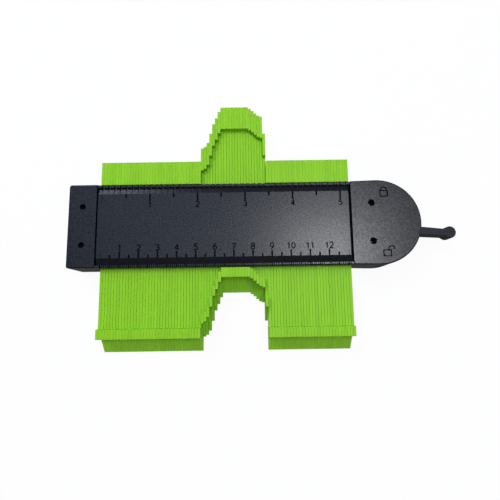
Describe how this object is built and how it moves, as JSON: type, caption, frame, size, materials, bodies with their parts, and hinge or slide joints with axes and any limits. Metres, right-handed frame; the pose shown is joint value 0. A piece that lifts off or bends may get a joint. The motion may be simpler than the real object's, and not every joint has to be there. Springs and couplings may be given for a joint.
{
  "type": "contour gauge",
  "caption": "Contour gauge: a stack of thin sliding plastic lamellae in a ruled two-part housing, locked by a cam lever at the rounded end.",
  "frame": {"origin": "on the flat rear face of the housing, midway along it and on its centre line", "axes": "+X along the housing towards the round end with the lever, +Y along the lamellae to the side that the bump is pushed out to, +Z out of the ruled front face"},
  "size_m": [0.2074, 0.133, 0.02],
  "materials": {
    "black_plastic": "fine moulded grain, soft sheen",
    "lever_plastic": "smooth satin",
    "green_plastic": "bright green, smooth satin",
    "steel": "plated"
  },
  "bodies": {
    "housing": {"front_cover": "black_plastic", "rear_cover": "black_plastic", "pivot_pin": "steel", "screw_square_end_far": "steel", "screw_square_end_near": "steel", "screw_round_end_far": "steel", "screw_round_end_near": "steel"},
    "lock_lever": {"lock_lever": "lever_plastic"},
    "pressure_plate": {"pressure_plate": "lever_plastic"},
    "lamella_01_02": {"lamella_01_02": "green_plastic"},
    "lamella_03_04": {"lamella_03_04": "green_plastic"},
    "lamella_05_06": {"lamella_05_06": "green_plastic"},
    "lamella_07_08": {"lamella_07_08": "green_plastic"},
    "lamella_09_10": {"lamella_09_10": "green_plastic"},
    "lamella_11_12": {"lamella_11_12": "green_plastic"},
    "lamella_13_14": {"lamella_13_14": "green_plastic"},
    "lamella_15_16": {"lamella_15_16": "green_plastic"},
    "lamella_17_18": {"lamella_17_18": "green_plastic"},
    "lamella_19_20": {"lamella_19_20": "green_plastic"},
    "lamella_21_22": {"lamella_21_22": "green_plastic"},
    "lamella_23_24": {"lamella_23_24": "green_plastic"},
    "lamella_25_26": {"lamella_25_26": "green_plastic"},
    "lamella_27_28": {"lamella_27_28": "green_plastic"},
    "lamella_29_30": {"lamella_29_30": "green_plastic"},
    "lamella_31_32": {"lamella_31_32": "green_plastic"},
    "lamella_33_34": {"lamella_33_34": "green_plastic"},
    "lamella_35": {"lamella_35": "green_plastic"},
    "lamella_36": {"lamella_36": "green_plastic"},
    "lamella_37": {"lamella_37": "green_plastic"},
    "lamella_38": {"lamella_38": "green_plastic"},
    "lamella_39": {"lamella_39": "green_plastic"},
    "lamella_40": {"lamella_40": "green_plastic"},
    "lamella_41": {"lamella_41": "green_plastic"},
    "lamella_42": {"lamella_42": "green_plastic"},
    "lamella_43_44": {"lamella_43_44": "green_plastic"},
    "lamella_45_46": {"lamella_45_46": "green_plastic"},
    "lamella_47_48": {"lamella_47_48": "green_plastic"},
    "lamella_49_50": {"lamella_49_50": "green_plastic"},
    "lamella_51_52": {"lamella_51_52": "green_plastic"},
    "lamella_53": {"lamella_53": "green_plastic"},
    "lamella_54": {"lamella_54": "green_plastic"},
    "lamella_55": {"lamella_55": "green_plastic"},
    "lamella_56": {"lamella_56": "green_plastic"},
    "lamella_57": {"lamella_57": "green_plastic"},
    "lamella_58": {"lamella_58": "green_plastic"},
    "lamella_59_60": {"lamella_59_60": "green_plastic"},
    "lamella_61_62": {"lamella_61_62": "green_plastic"},
    "lamella_63_64": {"lamella_63_64": "green_plastic"},
    "lamella_65_66": {"lamella_65_66": "green_plastic"},
    "lamella_67_68": {"lamella_67_68": "green_plastic"},
    "lamella_69_70": {"lamella_69_70": "green_plastic"},
    "lamella_71_72": {"lamella_71_72": "green_plastic"},
    "lamella_73_74": {"lamella_73_74": "green_plastic"},
    "lamella_75_76": {"lamella_75_76": "green_plastic"},
    "lamella_77_78": {"lamella_77_78": "green_plastic"},
    "lamella_79_80": {"lamella_79_80": "green_plastic"},
    "lamella_81_82": {"lamella_81_82": "green_plastic"},
    "lamella_83_84": {"lamella_83_84": "green_plastic"},
    "lamella_85_86": {"lamella_85_86": "green_plastic"},
    "lamella_87": {"lamella_87": "green_plastic"}
  },
  "joints": [
    {"name": "lever_swing", "type": "hinge", "parent": "housing", "child": "lock_lever", "pos_m": [0.07048, 0, 0.01], "axis": [0, 0, 1], "range_deg": [-60, 72]},
    {"name": "plate_press", "type": "slide", "parent": "housing", "child": "pressure_plate", "axis": [-1, 0, 0], "range_m": [-0.00041, 0.000492]},
    {"name": "slide_01_02", "type": "slide", "parent": "housing", "child": "lamella_01_02", "axis": [0, 1, 0], "range_m": [0, 0.0312]},
    {"name": "slide_03_04", "type": "slide", "parent": "housing", "child": "lamella_03_04", "axis": [0, 1, 0], "range_m": [0, 0.0312]},
    {"name": "slide_05_06", "type": "slide", "parent": "housing", "child": "lamella_05_06", "axis": [0, 1, 0], "range_m": [0, 0.0312]},
    {"name": "slide_07_08", "type": "slide", "parent": "housing", "child": "lamella_07_08", "axis": [0, 1, 0], "range_m": [0, 0.0312]},
    {"name": "slide_09_10", "type": "slide", "parent": "housing", "child": "lamella_09_10", "axis": [0, 1, 0], "range_m": [0, 0.0312]},
    {"name": "slide_11_12", "type": "slide", "parent": "housing", "child": "lamella_11_12", "axis": [0, 1, 0], "range_m": [0, 0.0312]},
    {"name": "slide_13_14", "type": "slide", "parent": "housing", "child": "lamella_13_14", "axis": [0, 1, 0], "range_m": [0, 0.0312]},
    {"name": "slide_15_16", "type": "slide", "parent": "housing", "child": "lamella_15_16", "axis": [0, 1, 0], "range_m": [0, 0.0312]},
    {"name": "slide_17_18", "type": "slide", "parent": "housing", "child": "lamella_17_18", "axis": [0, 1, 0], "range_m": [0, 0.0312]},
    {"name": "slide_19_20", "type": "slide", "parent": "housing", "child": "lamella_19_20", "axis": [0, 1, 0], "range_m": [0, 0.0312]},
    {"name": "slide_21_22", "type": "slide", "parent": "housing", "child": "lamella_21_22", "axis": [0, 1, 0], "range_m": [0, 0.0312]},
    {"name": "slide_23_24", "type": "slide", "parent": "housing", "child": "lamella_23_24", "axis": [0, 1, 0], "range_m": [0, 0.0312]},
    {"name": "slide_25_26", "type": "slide", "parent": "housing", "child": "lamella_25_26", "axis": [0, 1, 0], "range_m": [0, 0.0312]},
    {"name": "slide_27_28", "type": "slide", "parent": "housing", "child": "lamella_27_28", "axis": [0, 1, 0], "range_m": [0, 0.0312]},
    {"name": "slide_29_30", "type": "slide", "parent": "housing", "child": "lamella_29_30", "axis": [0, 1, 0], "range_m": [0, 0.0312]},
    {"name": "slide_31_32", "type": "slide", "parent": "housing", "child": "lamella_31_32", "axis": [0, 1, 0], "range_m": [0, 0.0312]},
    {"name": "slide_33_34", "type": "slide", "parent": "housing", "child": "lamella_33_34", "axis": [0, 1, 0], "range_m": [0, 0.0312]},
    {"name": "slide_35", "type": "slide", "parent": "housing", "child": "lamella_35", "axis": [0, 1, 0], "range_m": [0, 0.0312]},
    {"name": "slide_36", "type": "slide", "parent": "housing", "child": "lamella_36", "axis": [0, 1, 0], "range_m": [-0.00749, 0.02371]},
    {"name": "slide_37", "type": "slide", "parent": "housing", "child": "lamella_37", "axis": [0, 1, 0], "range_m": [-0.00842, 0.02278]},
    {"name": "slide_38", "type": "slide", "parent": "housing", "child": "lamella_38", "axis": [0, 1, 0], "range_m": [-0.01061, 0.02059]},
    {"name": "slide_39", "type": "slide", "parent": "housing", "child": "lamella_39", "axis": [0, 1, 0], "range_m": [-0.01591, 0.01529]},
    {"name": "slide_40", "type": "slide", "parent": "housing", "child": "lamella_40", "axis": [0, 1, 0], "range_m": [-0.02153, 0.00967]},
    {"name": "slide_41", "type": "slide", "parent": "housing", "child": "lamella_41", "axis": [0, 1, 0], "range_m": [-0.02496, 0.00624]},
    {"name": "slide_42", "type": "slide", "parent": "housing", "child": "lamella_42", "axis": [0, 1, 0], "range_m": [-0.0287, 0.0025]},
    {"name": "slide_43_44", "type": "slide", "parent": "housing", "child": "lamella_43_44", "axis": [0, 1, 0], "range_m": [-0.0312, 0]},
    {"name": "slide_45_46", "type": "slide", "parent": "housing", "child": "lamella_45_46", "axis": [0, 1, 0], "range_m": [-0.0312, 0]},
    {"name": "slide_47_48", "type": "slide", "parent": "housing", "child": "lamella_47_48", "axis": [0, 1, 0], "range_m": [-0.0312, 0]},
    {"name": "slide_49_50", "type": "slide", "parent": "housing", "child": "lamella_49_50", "axis": [0, 1, 0], "range_m": [-0.0312, 0]},
    {"name": "slide_51_52", "type": "slide", "parent": "housing", "child": "lamella_51_52", "axis": [0, 1, 0], "range_m": [-0.0312, 0]},
    {"name": "slide_53", "type": "slide", "parent": "housing", "child": "lamella_53", "axis": [0, 1, 0], "range_m": [-0.03026, 0.00094]},
    {"name": "slide_54", "type": "slide", "parent": "housing", "child": "lamella_54", "axis": [0, 1, 0], "range_m": [-0.02902, 0.00218]},
    {"name": "slide_55", "type": "slide", "parent": "housing", "child": "lamella_55", "axis": [0, 1, 0], "range_m": [-0.02746, 0.00374]},
    {"name": "slide_56", "type": "slide", "parent": "housing", "child": "lamella_56", "axis": [0, 1, 0], "range_m": [-0.02621, 0.00499]},
    {"name": "slide_57", "type": "slide", "parent": "housing", "child": "lamella_57", "axis": [0, 1, 0], "range_m": [-0.02558, 0.00562]},
    {"name": "slide_58", "type": "slide", "parent": "housing", "child": "lamella_58", "axis": [0, 1, 0], "range_m": [-0.0156, 0.0156]},
    {"name": "slide_59_60", "type": "slide", "parent": "housing", "child": "lamella_59_60", "axis": [0, 1, 0], "range_m": [0, 0.0312]},
    {"name": "slide_61_62", "type": "slide", "parent": "housing", "child": "lamella_61_62", "axis": [0, 1, 0], "range_m": [0, 0.0312]},
    {"name": "slide_63_64", "type": "slide", "parent": "housing", "child": "lamella_63_64", "axis": [0, 1, 0], "range_m": [0, 0.0312]},
    {"name": "slide_65_66", "type": "slide", "parent": "housing", "child": "lamella_65_66", "axis": [0, 1, 0], "range_m": [0, 0.0312]},
    {"name": "slide_67_68", "type": "slide", "parent": "housing", "child": "lamella_67_68", "axis": [0, 1, 0], "range_m": [0, 0.0312]},
    {"name": "slide_69_70", "type": "slide", "parent": "housing", "child": "lamella_69_70", "axis": [0, 1, 0], "range_m": [0, 0.0312]},
    {"name": "slide_71_72", "type": "slide", "parent": "housing", "child": "lamella_71_72", "axis": [0, 1, 0], "range_m": [0, 0.0312]},
    {"name": "slide_73_74", "type": "slide", "parent": "housing", "child": "lamella_73_74", "axis": [0, 1, 0], "range_m": [0, 0.0312]},
    {"name": "slide_75_76", "type": "slide", "parent": "housing", "child": "lamella_75_76", "axis": [0, 1, 0], "range_m": [0, 0.0312]},
    {"name": "slide_77_78", "type": "slide", "parent": "housing", "child": "lamella_77_78", "axis": [0, 1, 0], "range_m": [0, 0.0312]},
    {"name": "slide_79_80", "type": "slide", "parent": "housing", "child": "lamella_79_80", "axis": [0, 1, 0], "range_m": [0, 0.0312]},
    {"name": "slide_81_82", "type": "slide", "parent": "housing", "child": "lamella_81_82", "axis": [0, 1, 0], "range_m": [0, 0.0312]},
    {"name": "slide_83_84", "type": "slide", "parent": "housing", "child": "lamella_83_84", "axis": [0, 1, 0], "range_m": [0, 0.0312]},
    {"name": "slide_85_86", "type": "slide", "parent": "housing", "child": "lamella_85_86", "axis": [0, 1, 0], "range_m": [0, 0.0312]},
    {"name": "slide_87", "type": "slide", "parent": "housing", "child": "lamella_87", "axis": [0, 1, 0], "range_m": [0, 0.0312]}
  ],
  "couplings": [
    {"joint": "plate_press", "follows": "lever_swing", "m_per_rad": 0.00039065}
  ]
}
